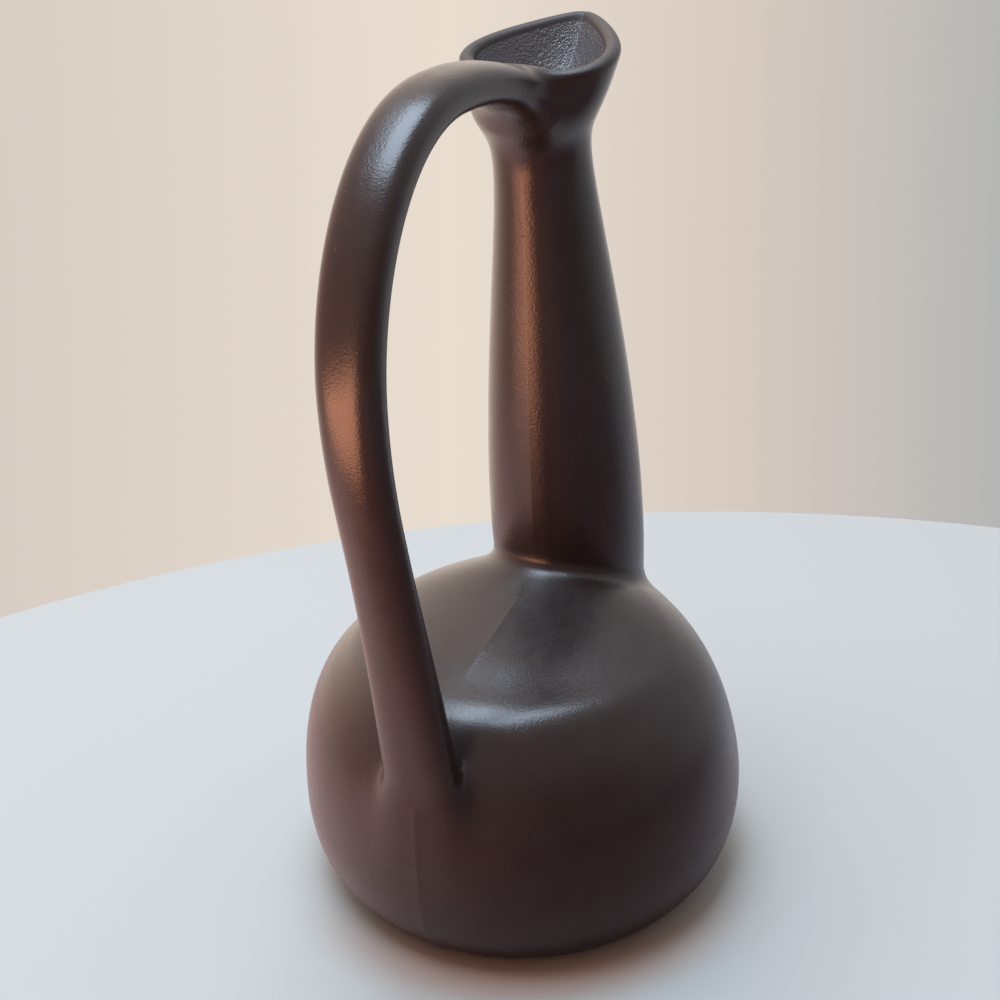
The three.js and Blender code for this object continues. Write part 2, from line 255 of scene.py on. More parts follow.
def belly_skin(along, angle):
    """Outside of the belly: 0 to 1 from the foot to the widest ring, 1 to 2 over the ridge to the seat."""
    along, angle = np.broadcast_arrays(along, angle)
    low = np.clip(along, 0, 1)[..., None]
    high = np.clip(along - 1, 0, 1)[..., None]
    widest = around_axis(BELLY_RADIUS, WIDEST_HEIGHT, angle)
    side = mixed(
        low,
        around_axis(FOOT_RADIUS, 0, angle),
        around_axis(FOOT_RADIUS + HEEL_REACH, HEEL_RISE, angle),
        around_axis(BELLY_RADIUS, WIDEST_HEIGHT - SIDE_DROP, angle),
        widest,
    )
    rise = by_bearing(RIDGE_RISE_FRONT, RIDGE_RISE_SIDE, RIDGE_RISE_BACK, angle)
    mean_rise = (SHOULDER_RISE_FRONT + SHOULDER_RISE_BACK) / 2
    tip = (SHOULDER_RISE_FRONT - SHOULDER_RISE_BACK) / 2
    length = BELLY_RADIUS - (SHOULDER_INSET_FRONT + SHOULDER_INSET_BACK) / 2
    width = (BELLY_RADIUS - SHOULDER_INSET_SIDE) * (1 - SHOULDER_EGG * np.cos(angle))
    shoulder = place(
        (SHOULDER_INSET_FRONT - SHOULDER_INSET_BACK) / 2 + length * np.cos(angle),
        width * np.sin(angle),
        WIDEST_HEIGHT + mean_rise - tip * np.cos(angle),
    )
    ridge = around_axis(BELLY_RADIUS, WIDEST_HEIGHT + rise, angle)
    top = mixed(high, widest, ridge, shoulder, joint_ring(NECK_FOOT_RADIUS, 0, angle))
    return np.where(along[..., None] <= 1, side, top + crest_lift(high[..., 0], angle))


# Each ring of the neck: middle, half length, half width, height, front-to-back tip and egg shape
SEAT_RING = np.array([NECK_OFFSET, NECK_FOOT_RADIUS, NECK_FOOT_RADIUS, JOINT_HEIGHT, -NECK_JOINT_DROP, 0])
SWELL_RING = np.array([
    NECK_OFFSET - NECK_SWELL_LEAN, NECK_FOOT_RADIUS + NECK_SWELL, NECK_FOOT_RADIUS + NECK_SWELL,
    JOINT_HEIGHT + NECK_SWELL_RISE, 0, 0,
])
EASE_RING = np.array([
    WAIST_X + WAIST_EASE_LEAN, WAIST_RADIUS + WAIST_EASE_RADIUS, WAIST_RADIUS + WAIST_EASE_RADIUS,
    WAIST_HEIGHT - WAIST_EASE_DROP, 0, 0,
])
WAIST_RING = np.array([WAIST_X, WAIST_RADIUS, WAIST_RADIUS, WAIST_HEIGHT, 0, 0])
FLARE_START_RING = WAIST_RING + (WAIST_RING - EASE_RING) * FLARE_START_SHARE
FLARE_RING = np.array([
    WAIST_X + FLARE_SHIFT, FLARE_RADIUS, FLARE_RADIUS, WAIST_HEIGHT + FLARE_RISE, LIP_TIP / 2, LIP_EGG / 2,
])
LIP_RING = np.array([LIP_X, LIP_HALF_LENGTH, LIP_HALF_WIDTH, LIP_HEIGHT, LIP_TIP, LIP_EGG])


def neck_skin(along, angle):
    """Outside of the neck: 0 to 1 from the seat to the waist, 1 to 2 from the waist to the lip's edge."""
    along, angle = np.broadcast_arrays(along, angle)
    low = np.minimum(along, 1)[..., None]
    high = np.clip(along - 1, 0, 1)[..., None]
    below = mixed(low, SEAT_RING, SWELL_RING, EASE_RING, WAIST_RING)
    above = mixed(high, WAIST_RING, FLARE_START_RING, FLARE_RING, LIP_RING)
    x, length, width, height, tip, egg = np.moveaxis(np.where(along[..., None] <= 1, below, above), -1, 0)
    return place(
        x + length * np.cos(angle),
        width * np.sin(angle) * (1 - egg * np.cos(angle)),
        height + tip / 2 * np.cos(angle),
    )


def faded(distance, length):
    """Nothing up to the start, and whole once that length has been passed."""
    return np.clip(distance / length, 0, 1)


def unit(vectors):
    """The same directions, each of length 1."""
    return vectors / np.linalg.norm(vectors, axis=-1, keepdims=True)


def skin_frame(skin, along, angle):
    """Outward normal of a surface, and its direction of rise, taken across a small step each way."""
    within = np.clip(along, STEP, 2 - STEP)
    across = skin(within, angle + STEP) - skin(within, angle - STEP)
    rise = skin(within + STEP, angle) - skin(within - STEP, angle)
    return unit(np.cross(across, rise)), unit(rise)


def bearings(count):
    """Bearings all round, closer together at the front, where the seam and the handle's foot are."""
    turn = np.arange(count) / count * 2 * math.pi
    return turn - FRONT_CROWDING * np.sin(turn - FRONT)


# Meshes

def loft(rings, joined=False):
    """Vertices and faces of a closed body through the rings, capped at its ends or joined end to end."""
    rows, count = rings.shape[:2]
    vertices = rings.reshape(-1, 3)
    row = np.arange(rows if joined else rows - 1)[:, None]
    column = np.arange(count)[None, :]
    low, high, onward = row * count, (row + 1) % rows * count, (column + 1) % count
    quads = np.stack([low + column, low + onward, high + onward, high + column], axis=-1)
    faces = quads.reshape(-1, 4).tolist()
    if not joined:
        vertices = np.vstack([vertices, rings[0].mean(0), rings[-1].mean(0)])
        last = (rows - 1) * count
        for j in range(count):
            after = (j + 1) % count
            faces.append([rows * count, after, j])
            faces.append([rows * count + 1, last + j, last + after])
    return vertices, faces


def make_piece(name, vertices, faces, materials, face_material=None):
    """A smooth-shaded piece in the scene, from places in millimetres."""
    mesh = bpy.data.meshes.new(name)
    mesh.from_pydata((vertices * MM).tolist(), [], faces)
    for material in materials:
        mesh.materials.append(material)
    if face_material is not None:
        mesh.polygons.foreach_set("material_index", face_material)
    mesh.shade_smooth()
    mesh.update()
    piece = bpy.data.objects.new(name, mesh)
    bpy.context.scene.collection.objects.link(piece)
    return piece


def vertex_normals(vertices, faces):
    """Smooth normals of a mesh that isn't kept."""
    mesh = bpy.data.meshes.new("measured")
    mesh.from_pydata(vertices.tolist(), [], faces)
    normals = np.zeros(len(vertices) * 3, np.float32)
    mesh.vertices.foreach_get("normal", normals)
    bpy.data.meshes.remove(mesh)
    return normals.reshape(-1, 3).astype(float)


class Skin:
    """A surface that can be asked how far a point stands out of it."""

    def __init__(self, vertices, faces):
        self.faces = faces
        self.points = [Vector(v) for v in vertices]
        self.normals = [Vector(n) for n in vertex_normals(vertices, faces)]
        self.tree = BVHTree.FromPolygons(self.points, faces)

    def stand(self, point):
        """Distance out of the surface, less than nothing inside, and the smooth normal nearest by."""
        near, _, index, distance = self.tree.find_nearest(point)
        face = self.faces[index]
        shares = poly_3d_calc([self.points[k] for k in face], near)
        normal = sum((self.normals[k] * w for k, w in zip(face, shares)), Vector())
        return math.copysign(distance, (point - near).dot(normal)), normal


def cut_at_wall(rings, wall):
    """The end of a strap, its last ring outermost, cut where each line along it passes the surface."""
    count = len(rings)
    for j in range(rings.shape[1]):
        outs = [wall.stand(Vector(p))[0] for p in rings[:, j]]
        passed = next((i for i in range(1, count) if outs[i] < 0), None)
        if passed is None:
            continue
        stop = passed - 1 + outs[passed - 1] / (outs[passed - 1] - outs[passed])
        spots = np.linspace(0, stop, count)
        for k in range(3):
            rings[:, j, k] = np.interp(spots, np.arange(count), rings[:, j, k])


def worked_in(vertices, normals, chosen, neighbour, reach_at):
    """Vertices near the neighbour swell out so that the two surfaces run into each other in a soft hollow.
    Past the middle of the hollow they stay behind, and so pass under the neighbour's own swelling.
    Also gives the hollow's own normals, and how far each vertex takes them on."""
    moved, facings, shares = vertices.copy(), np.array(normals), np.zeros(len(vertices))
    for i in chosen:
        point, normal = Vector(vertices[i]), Vector(normals[i])
        reach = reach_at(point)
        if neighbour.stand(point)[0] >= reach:
            continue

        def over(own):
            spot = point + normal * own
            other, wide = neighbour.stand(spot)[0], reach_at(spot)
            return min(own, other) - max(wide - abs(own - other), 0) ** 3 / (6 * wide ** 2)

        low, high = 0.0, reach
        if over(high) < 0:
            continue
        while high - low > NEAR_ENOUGH:
            middle = (low + high) / 2
            low, high = (middle, high) if over(middle) < 0 else (low, middle)
        other, facing = neighbour.stand(point + normal * high)
        past = (high - other) / reach_at(point + normal * high)
        share = min(max((PASSED - past) / HELD, 0), 1)
        moved[i] = point + normal * high * share * share * (3 - 2 * share)
        hollow = max(1 - abs(past), 0) ** 2 / 2
        weight = hollow if past > 0 else 1 - hollow
        facings[i] = normal * weight + facing.normalized() * (1 - weight)
        shares[i] = min(max((1 - abs(past)) / HELD, 0), 1)
    return moved, facings, shares


def shade_joint(mesh, facings, shares):
    """The pieces that meet in a joint take on one normal there, so that no edge shows where they cross."""
    own = np.zeros(len(mesh.vertices) * 3, np.float32)
    mesh.vertices.foreach_get("normal", own)
    blended = own.reshape(-1, 3) * (1 - shares[:, None]) + facings * shares[:, None]
    mesh.normals_split_custom_set_from_vertices(unit(blended).tolist())


def eased(low, high, bottom, top):
    """A reach that goes from one value to another between two heights."""
    def reach_at(point):
        share = min(max((point.z - bottom) / (top - bottom), 0), 1)
        return low + (high - low) * share * share * (3 - 2 * share)
    return reach_at


# Materials

def linear(hex_code):
    """An sRGB colour such as #3a2c2c as the linear colour that a shader takes."""
    channels = [int(hex_code[i:i + 2], 16) / 255 for i in (1, 3, 5)]
    return [c / 12.92 if c <= 0.04045 else ((c + 0.055) / 1.055) ** 2.4 for c in channels] + [1.0]


def add(tree, kind, settings, feeds):
    """One node with its settings, each feed a value or the output that it is joined to."""
    made = tree.nodes.new(kind)
    for name, value in settings.items():
        setattr(made, name, value)
    for name, value in feeds.items():
        if isinstance(value, bpy.types.NodeSocket):
            tree.links.new(value, made.inputs[name])
        else:
            made.inputs[name].default_value = value
    return made


def mixed_colours(tree, blend, share, first, second):
    """Two colours blended by a share."""
    settings = {"data_type": "RGBA", "blend_type": blend}
    return add(tree, "ShaderNodeMix", settings, {0: share, 6: first, 7: second}).outputs[2]


def per_length(millimetres):
    """Scale of a pattern whose features are that far apart."""
    return 1 / (millimetres * MM)


# Clay, its patterns in millimetres. The grit is drawn coarser than it is, so that it shows in the render
CLAY_IOR = 1.65
CLAY_DARK = "#271d1d"
CLAY_LIGHT = "#382b29"
GRIT_SIZE = 0.6
GRIT_HEIGHT = 0.06
MOTTLE_SIZE = 9.0
GLOSS_SPREAD = 0.03
PORE_SPACING = 8.0
PORE_DEPTH = 0.1

# Liner glaze: thin at the handle's side of the mouth, and pooled thick towards the beak
POOL_WAY = (0.8, 0.6, 0.0)
POOL_FROM = 32.0
POOL_TO = 46.0
POOL_THIN_SHARE = 0.35


def clay(name, dark, light, roughness, grit_size, grit_height, pooled=False):
    """Fired clay or its glaze: barely mottled, with a fine grit that sparkles in the highlights and a few
    open pores. A pooled coat has its grit where it lies thick."""
    material = bpy.data.materials.new(name)
    material.use_nodes = True
    tree = material.node_tree
    shader = tree.nodes["Principled BSDF"]
    shader.inputs["IOR"].default_value = CLAY_IOR
    at = add(tree, "ShaderNodeTexCoord", {}, {}).outputs["Object"]
    mottle = add(tree, "ShaderNodeTexNoise", {}, {
        "Vector": at, "Scale": per_length(MOTTLE_SIZE), "Detail": 6.0, "Roughness": 0.65,
    }).outputs["Fac"]
    colour = mixed_colours(tree, "MIX", mottle, linear(dark), linear(light))
    tree.links.new(colour, shader.inputs["Base Color"])
    shine = add(tree, "ShaderNodeMapRange", {}, {
        "Value": mottle, "From Min": 0.3, "From Max": 0.7,
        "To Min": roughness - GLOSS_SPREAD, "To Max": roughness + GLOSS_SPREAD,
    }).outputs["Result"]
    tree.links.new(shine, shader.inputs["Roughness"])
    grit = add(tree, "ShaderNodeTexNoise", {}, {
        "Vector": at, "Scale": per_length(grit_size), "Detail": 2.0,
    }).outputs["Fac"]
    if pooled:
        along = add(tree, "ShaderNodeVectorMath", {"operation": "DOT_PRODUCT"}, {0: at, 1: POOL_WAY})
        thick = add(tree, "ShaderNodeMapRange", {}, {
            "Value": along.outputs["Value"], "From Min": POOL_FROM * MM, "From Max": POOL_TO * MM,
            "To Min": POOL_THIN_SHARE, "To Max": 1.0,
        }).outputs["Result"]
        grit = add(tree, "ShaderNodeMath", {"operation": "MULTIPLY"}, {0: grit, 1: thick}).outputs[0]
    gritty = add(tree, "ShaderNodeBump", {}, {
        "Height": grit, "Strength": 1.0, "Distance": grit_height * MM,
    })
    cells = add(tree, "ShaderNodeTexVoronoi", {}, {"Vector": at, "Scale": per_length(PORE_SPACING)})
    pore = add(tree, "ShaderNodeMapRange", {"interpolation_type": "SMOOTHSTEP"}, {
        "Value": cells.outputs["Distance"], "From Min": 0.01, "From Max": 0.04,
        "To Min": 0.0, "To Max": 1.0,
    }).outputs["Result"]
    porous = add(tree, "ShaderNodeBump", {}, {
        "Height": pore, "Strength": 1.0, "Distance": PORE_DEPTH * MM, "Normal": gritty.outputs["Normal"],
    })
    tree.links.new(porous.outputs["Normal"], shader.inputs["Normal"])
    return material


# Burnished clay, rubbed smooth before firing: a dark warm brown satin that draws long soft streaks of light
burnished_clay = clay("burnished_clay", CLAY_DARK, CLAY_LIGHT, 0.27, GRIT_SIZE, GRIT_HEIGHT)
# Joint clay, smoothed by hand: the same brown, a shade duller
joint_clay = clay("joint_clay", CLAY_DARK, CLAY_LIGHT, 0.28, GRIT_SIZE, GRIT_HEIGHT)
# Rim clay, wiped free of glaze: a little paler, and dull
rim_clay = clay("rim_clay", "#332a29", "#443a38", 0.5, 0.5, GRIT_HEIGHT)
# Liner glaze, poured in and curdled by the fire: grey, wet-looking and pebbled
liner_glaze = clay("liner_glaze", "#575354", "#736f6f", 0.2, 0.6, 0.7, pooled=True)


# Belly

turn = bearings(BELLY_SEGMENTS)[None, :]
shoulder_rows = np.linspace(1, 2, SHOULDER_ROWS)[1:]
side_rows = np.linspace(FOOT_EDGE / HEEL_ROW_LENGTH, 1, SIDE_ROWS)
outside_rows = np.concatenate([side_rows, shoulder_rows])[:, None]
belly_out = belly_skin(outside_rows, turn)
belly_facing = skin_frame(belly_skin, outside_rows, turn)[0]
bend = np.linspace(0, 1, FOOT_EDGE_ROWS + 1)[:-1, None, None]
edge_start = around_axis(FOOT_RADIUS - FOOT_EDGE, 0, turn)
edge_corner = around_axis(FOOT_RADIUS, 0, turn)
foot_edge = (1 - bend) ** 2 * edge_start + 2 * bend * (1 - bend) * edge_corner + bend ** 2 * belly_out[:1]
underside = np.concatenate([around_axis(radius, 0, turn) for radius in UNDERSIDE_RADII])
bore = NECK_FOOT_RADIUS - NECK_WALL
bore_rings = np.concatenate([joint_ring(bore, 0, turn), joint_ring(bore, -BELLY_WALL, turn)])
lining_rows = np.concatenate([
    np.linspace(LINING_START, 1, LINING_SIDE_ROWS)[:-1], np.linspace(1, 2, LINING_SHOULDER_ROWS)[:-1],
])[::-1, None]
lining = belly_skin(lining_rows, turn) - BELLY_WALL * skin_frame(belly_skin, lining_rows, turn)[0]
floor_rings = np.concatenate([around_axis(radius, FLOOR_THICKNESS, turn) for radius in INNER_FLOOR_RADII])
belly_rings = np.concatenate([underside, foot_edge, belly_out, bore_rings, lining, floor_rings])
belly_points, belly_faces = loft(belly_rings)
belly_out_count = len(underside) + len(foot_edge) + len(belly_out)
belly_outside = Skin(*loft(belly_rings[:belly_out_count]))
middle_wall = belly_out - SEAT_DEPTH * belly_facing
belly_middle = Skin(*loft(middle_wall))

# Neck

turn = bearings(NECK_SEGMENTS)[None, :]
tube_rows = np.concatenate([
    np.linspace(TUBE_START, 1, TUBE_ROWS), np.linspace(1, 2, FLARE_ROWS)[1:],
])[:, None]
tube = neck_skin(tube_rows, turn)
lip_normal, lip_rise = skin_frame(neck_skin, np.full((1, 1), 2.0), turn)
half_wall, half_lip = NECK_WALL / 2, LIP_WALL / 2
rim_turns = np.linspace(0, math.pi, RIM_ROWS)[1:-1, None, None]
rim = tube[-1:] + lip_normal * half_lip * (np.cos(rim_turns) - 1) + lip_rise * half_lip * np.sin(rim_turns)
inner_rows = np.concatenate([
    np.linspace(0, 1, BORE_ROWS), np.linspace(1, 2, MOUTH_ROWS)[1:],
])[::-1, None]
inner_facing = skin_frame(neck_skin, inner_rows, turn)[0]
inner_wall = NECK_WALL + (LIP_WALL - NECK_WALL) * np.clip(inner_rows - 1, 0, 1) ** 2
inner = neck_skin(inner_rows, turn) - inner_wall[..., None] * inner_facing
crease = CREASE_DEPTH * np.exp(-np.abs(inner[..., 1]) / CREASE_HALF_WIDTH) * (np.cos(turn) > 0)
crease *= faded(inner_rows - CREASE_START, 2 - CREASE_START)
pebbles = [noise.noise(Vector(spot) / PEBBLE_SIZE) for spot in inner.reshape(-1, 3)]
pebbles = PEBBLE_HEIGHT * np.reshape(pebbles, crease.shape) * faded(inner_rows - 1, PEBBLE_FADE_AT_WAIST)
pebbles *= faded(2 - inner_rows, PEBBLE_FADE_AT_RIM)
inner += inner_facing * (crease + pebbles)[..., None]
rim += lip_normal * crease[0][:, None] * (1 - np.cos(rim_turns)) / 2
neck_rings = np.concatenate([tube, rim, inner])
neck_points, neck_faces = loft(neck_rings, joined=True)
neck_surface = Skin(neck_points, neck_faces)
middle_wall = tube - half_wall * skin_frame(neck_skin, tube_rows, turn)[0]
above_lip = middle_wall[-1:] + place(0, 0, 2 * HANDLE_THICKNESS)
neck_middle = Skin(*loft(np.concatenate([middle_wall, above_lip])))

# Handle

foot = Vector((HANDLE_FOOT_INSET - BELLY_RADIUS, 0, WIDEST_HEIGHT + HANDLE_FOOT_RISE))
crown = Vector((LIP_FRONT_X - CROWN_REACH, 0, LIP_HEIGHT + CROWN_RISE))
bow = Vector((-BELLY_RADIUS - HANDLE_OVERHANG, 0, crown.z - BOW_DROP))
root = Vector((LIP_FRONT_X + ROOT_INSET, 0, LIP_FRONT_HEIGHT - ROOT_DROP))
upward = Vector((-HANDLE_FOOT_LEAN, 0, HANDLE_FOOT_SWEEP))
tail = foot - upward.normalized() * HANDLE_FOOT_TAIL
fall = Vector((ROOT_RUN, 0, -ROOT_FALL))
knots = [
    (tail + (tail - foot) / 3, tail, tail + (foot - tail) / 3),
    (foot - (foot - tail) / 3, foot, foot + upward),
    (bow - Vector((0, 0, BOW_SWEEP_DOWN)), bow, bow + Vector((0, 0, BOW_SWEEP_UP))),
    (crown - Vector((CROWN_SWEEP_OUT, 0, 0)), crown, crown + Vector((CROWN_SWEEP_IN, 0, 0))),
    (root - fall, root, root + fall),
]


def strap_group():
    """A strap along a curve: a section with soft corners that widens towards both ends."""
    group = bpy.data.node_groups.new("handle_strap", "GeometryNodeTree")
    socket = group.interface.new_socket
    socket("Path", in_out="INPUT", socket_type="NodeSocketGeometry")
    for name in ("Rings", "Sides"):
        socket(name, in_out="INPUT", socket_type="NodeSocketInt")
    for name in (
        "Width", "Thickness", "Squareness", "Foot Gain", "Root Gain",
        "Foot Tail", "Foot Flare", "Root Flare",
    ):
        socket(name, in_out="INPUT", socket_type="NodeSocketFloat")
    socket("Clay", in_out="INPUT", socket_type="NodeSocketMaterial")
    socket("Strap", in_out="OUTPUT", socket_type="NodeSocketGeometry")
    given = add(group, "NodeGroupInput", {}, {}).outputs

    def reckon(operation, first, second, clamped=False):
        settings = {"operation": operation, "use_clamp": clamped}
        return add(group, "ShaderNodeMath", settings, {0: first, 1: second}).outputs[0]

    path = add(group, "GeometryNodeResampleCurve", {}, {"Curve": given["Path"], "Count": given["Rings"]})
    length = add(group, "GeometryNodeSplineParameter", {}, {}).outputs["Length"]
    share = add(group, "GeometryNodeSplineParameter", {}, {}).outputs["Factor"]
    total = add(group, "GeometryNodeSplineLength", {}, {}).outputs["Length"]
    past_tail = reckon("DIVIDE", reckon("SUBTRACT", length, given["Foot Tail"]), given["Foot Flare"])
    to_root = reckon("DIVIDE", reckon("SUBTRACT", total, length), given["Root Flare"])
    foot_share = reckon("POWER", reckon("SUBTRACT", 1.0, past_tail, True), 2.0)
    root_share = reckon("POWER", reckon("SUBTRACT", 1.0, to_root, True), 2.0)
    gain = reckon(
        "ADD", reckon("MULTIPLY", foot_share, given["Foot Gain"]),
        reckon("MULTIPLY", root_share, given["Root Gain"]),
    )
    held = add(group, "GeometryNodeCaptureAttribute", {"domain": "POINT"}, {"Geometry": path.outputs[0]})
    held.capture_items.new("FLOAT", "Gain")
    group.links.new(gain, held.inputs["Gain"])
    circle = add(group, "GeometryNodeCurvePrimitiveCircle", {}, {
        "Resolution": given["Sides"], "Radius": 0.5,
    })
    here = add(group, "GeometryNodeInputPosition", {}, {}).outputs[0]
    spot = add(group, "ShaderNodeSeparateXYZ", {}, {0: here})
    bend = reckon("DIVIDE", 2.0, given["Squareness"])

    def squared(share, size):
        far = reckon("POWER", reckon("ABSOLUTE", reckon("MULTIPLY", share, 2.0), 0.0), bend)
        signed = reckon("MULTIPLY", far, reckon("SIGN", share, 0.0))
        return reckon("MULTIPLY", signed, reckon("MULTIPLY", size, 0.5))

    corner = add(group, "ShaderNodeCombineXYZ", {}, {
        "X": squared(spot.outputs["X"], given["Width"]),
        "Y": squared(spot.outputs["Y"], given["Thickness"]),
        "Z": 0.0,
    })
    section = add(group, "GeometryNodeSetPosition", {}, {
        "Geometry": circle.outputs[0], "Position": corner.outputs[0],
    })
    swept = add(group, "GeometryNodeCurveToMesh", {}, {
        "Curve": held.outputs["Geometry"], "Profile Curve": section.outputs[0], "Fill Caps": True,
    })
    spread = add(group, "ShaderNodeCombineXYZ", {}, {
        "X": 0.0, "Y": reckon("MULTIPLY", spot.outputs["Y"], held.outputs["Gain"]), "Z": 0.0,
    })
    widened = add(group, "GeometryNodeSetPosition", {}, {
        "Geometry": swept.outputs[0], "Offset": spread.outputs[0],
    })
    smooth = add(group, "GeometryNodeSetShadeSmooth", {}, {"Geometry": widened.outputs[0]})
    plain = add(group, "GeometryNodeRealizeInstances", {}, {"Geometry": smooth.outputs[0]})
    coated = add(group, "GeometryNodeSetMaterial", {}, {
        "Geometry": plain.outputs[0], "Material": given["Clay"],
    })
    add(group, "NodeGroupOutput", {}, {"Strap": coated.outputs[0]})
    return group


def strap_mesh():
    """The strap as a plain mesh, swept along the handle's path by the node group."""
    curve = bpy.data.curves.new("handle_path", "CURVE")
    curve.dimensions = "3D"
    curve.twist_mode = "MINIMUM"
    line = curve.splines.new("BEZIER")
    line.resolution_u = PATH_STEPS
    line.bezier_points.add(len(knots) - 1)
    for point, (before, middle, after) in zip(line.bezier_points, knots):
        point.handle_left_type = point.handle_right_type = "FREE"
        point.handle_left, point.co, point.handle_right = before * MM, middle * MM, after * MM
    path = bpy.data.objects.new("handle_path", curve)
    bpy.context.scene.collection.objects.link(path)
    modifier = path.modifiers.new("strap", "NODES")
    modifier.node_group = strap_group()
    values = {
        "Rings": STRAP_RINGS, "Sides": STRAP_SIDES,
        "Width": HANDLE_WIDTH * MM, "Thickness": HANDLE_THICKNESS * MM, "Squareness": HANDLE_SQUARENESS,
        "Foot Gain": HANDLE_FOOT_WIDTH / HANDLE_WIDTH - 1,
        "Root Gain": HANDLE_ROOT_WIDTH / HANDLE_WIDTH - 1,
        "Foot Tail": HANDLE_FOOT_TAIL * MM, "Foot Flare": FOOT_FLARE * MM, "Root Flare": ROOT_FLARE * MM,
        "Clay": burnished_clay,
    }
    for item in modifier.node_group.interface.items_tree:
        if item.name in values:
            modifier[item.identifier] = values[item.name]
    evaluated = path.evaluated_get(bpy.context.evaluated_depsgraph_get())
    mesh = bpy.data.meshes.new_from_object(evaluated)
    bpy.data.objects.remove(path)
    mesh.name = "handle"
    return mesh


handle_mesh = strap_mesh()
strap = np.zeros(len(handle_mesh.vertices) * 3, np.float32)
handle_mesh.vertices.foreach_get("co", strap)
strap = strap.reshape(-1, 3).astype(float) / MM
strap_rings = strap.reshape(STRAP_RINGS, STRAP_SIDES, 3)

# The strap's section is nearer to an oval half way up, where the hand holds it
middles = strap_rings.mean(1, keepdims=True)
thick_way = unit(np.cross(np.gradient(middles, axis=0), place(0, 1, 0)))
offset = strap_rings - middles
wide, thick = offset[..., 1:2], (offset * thick_way).sum(-1, keepdims=True)
wide_share = np.abs(wide) / np.abs(wide).max(1, keepdims=True)
thick_share = np.abs(thick) / np.abs(thick).max(1, keepdims=True)
spoke = np.arctan2(thick_share ** (HANDLE_SQUARENESS / 2), wide_share ** (HANDLE_SQUARENESS / 2))
rounded = np.exp(-((middles[..., 2:] - ROUNDED_HEIGHT) / ROUNDED_REACH) ** 2)
power = 2 / (HANDLE_SQUARENESS + (HANDLE_ROUNDED - HANDLE_SQUARENESS) * rounded) - 2 / HANDLE_SQUARENESS
wider = wide * (np.maximum(np.cos(spoke), TINY) ** power - 1)
thicker = thick * (np.maximum(np.sin(spoke), TINY) ** power - 1)
strap_rings += wider * place(0, 1, 0) + thicker * thick_way

# The strap ends inside the walls, and is worked into their outsides
whole_strap = Skin(*loft(strap_rings))
cut_at_wall(strap_rings[:FOOT_RINGS][::-1], belly_middle)
cut_at_wall(strap_rings[-ROOT_RINGS:], neck_middle)
foot_reach = eased(FOOT_FILLET_LOW, FOOT_FILLET_HIGH, FOOT_FILLET_FROM, FOOT_FILLET_TO)
root_reach = eased(ROOT_FILLET_LOW, ROOT_FILLET_HIGH, ROOT_FILLET_FROM, ROOT_FILLET_TO)
near_foot = np.arange(FOOT_RINGS * STRAP_SIDES)
near_root = np.arange((STRAP_RINGS - ROOT_RINGS) * STRAP_SIDES, len(strap))
strap_surface = Skin(*loft(strap_rings))
strap_normals = strap_surface.normals[:-2]
worked, foot_facings, foot_shares = worked_in(strap, strap_normals, near_foot, belly_outside, foot_reach)
worked, root_facings, root_shares = worked_in(worked, strap_normals, near_root, neck_surface, root_reach)
handle_mesh.vertices.foreach_set("co", (worked * MM).astype(np.float32).ravel())
handle_mesh.update()
handle_facings = np.where(root_shares[:, None] > 0, root_facings, foot_facings)
shade_joint(handle_mesh, handle_facings, np.maximum(root_shares, foot_shares))
handle = bpy.data.objects.new("handle_strap", handle_mesh)
bpy.context.scene.collection.objects.link(handle)


# The vessel's walls swell to meet the handle

def near_strap(points, rows_end, reach):
    """Which of the outside's points lie in the handle's box or within reach of it."""
    low, high = strap.min(0) - reach, strap.max(0) + reach
    inside = np.all((points[:rows_end] > low) & (points[:rows_end] < high), axis=1)
    return np.flatnonzero(inside)


belly_normals = vertex_normals(belly_points, belly_faces)
chosen = near_strap(belly_points, belly_out_count * BELLY_SEGMENTS, FOOT_FILLET_LOW)
belly_points, belly_facings, belly_shares = worked_in(
    belly_points, belly_normals, chosen, whole_strap, foot_reach)
neck_normals = vertex_normals(neck_points, neck_faces)
chosen = near_strap(neck_points, (len(tube) + len(rim) // 2) * NECK_SEGMENTS, ROOT_FILLET_LOW)
neck_points, neck_facings, neck_shares = worked_in(
    neck_points, neck_normals, chosen, strap_surface, root_reach)

# The mould seam, a low keel up the front of belly and neck where the two halves of the mould met
belly_seam = np.exp(-np.abs(belly_points[:, 1]) / SEAM_HALF_WIDTH) * (belly_points[:, 0] < LIP_FRONT_X)
belly_seam[belly_out_count * BELLY_SEGMENTS:] = 0
belly_seam *= np.clip(belly_points[:, 2] / FOOT_EDGE - 1, 0, 1)
seam_end = NECK_OFFSET - NECK_FOOT_RADIUS - SEAM_STOP_AT_NECK
belly_seam *= faded(seam_end - belly_points[:, 0], SEAM_FADE_AT_NECK)
clear_of_handle = faded(belly_points[:, 0] - SEAM_START_BEHIND_HANDLE, SEAM_FADE_BEHIND_HANDLE)
belly_seam *= np.where(belly_points[:, 2] > foot.z, clear_of_handle, 1)
belly_points += belly_normals * (SEAM_HEIGHT * belly_seam)[:, None]
neck_seam = np.exp(-np.abs(neck_points[:, 1]) / SEAM_HALF_WIDTH) * (neck_points[:, 0] < WAIST_X)
neck_seam[len(tube) * NECK_SEGMENTS:] = 0
neck_seam *= faded(LIP_FRONT_HEIGHT - SEAM_STOP_BELOW_LIP - neck_points[:, 2], SEAM_FADE_BELOW_LIP)
above_joint = neck_points[:, 2] - JOINT_HEIGHT - NECK_JOINT_DROP / 2 - NECK_FILLET
neck_seam *= faded(above_joint, SEAM_FADE_ABOVE_JOINT)
neck_points += neck_normals * (SEAM_HEIGHT * neck_seam)[:, None]

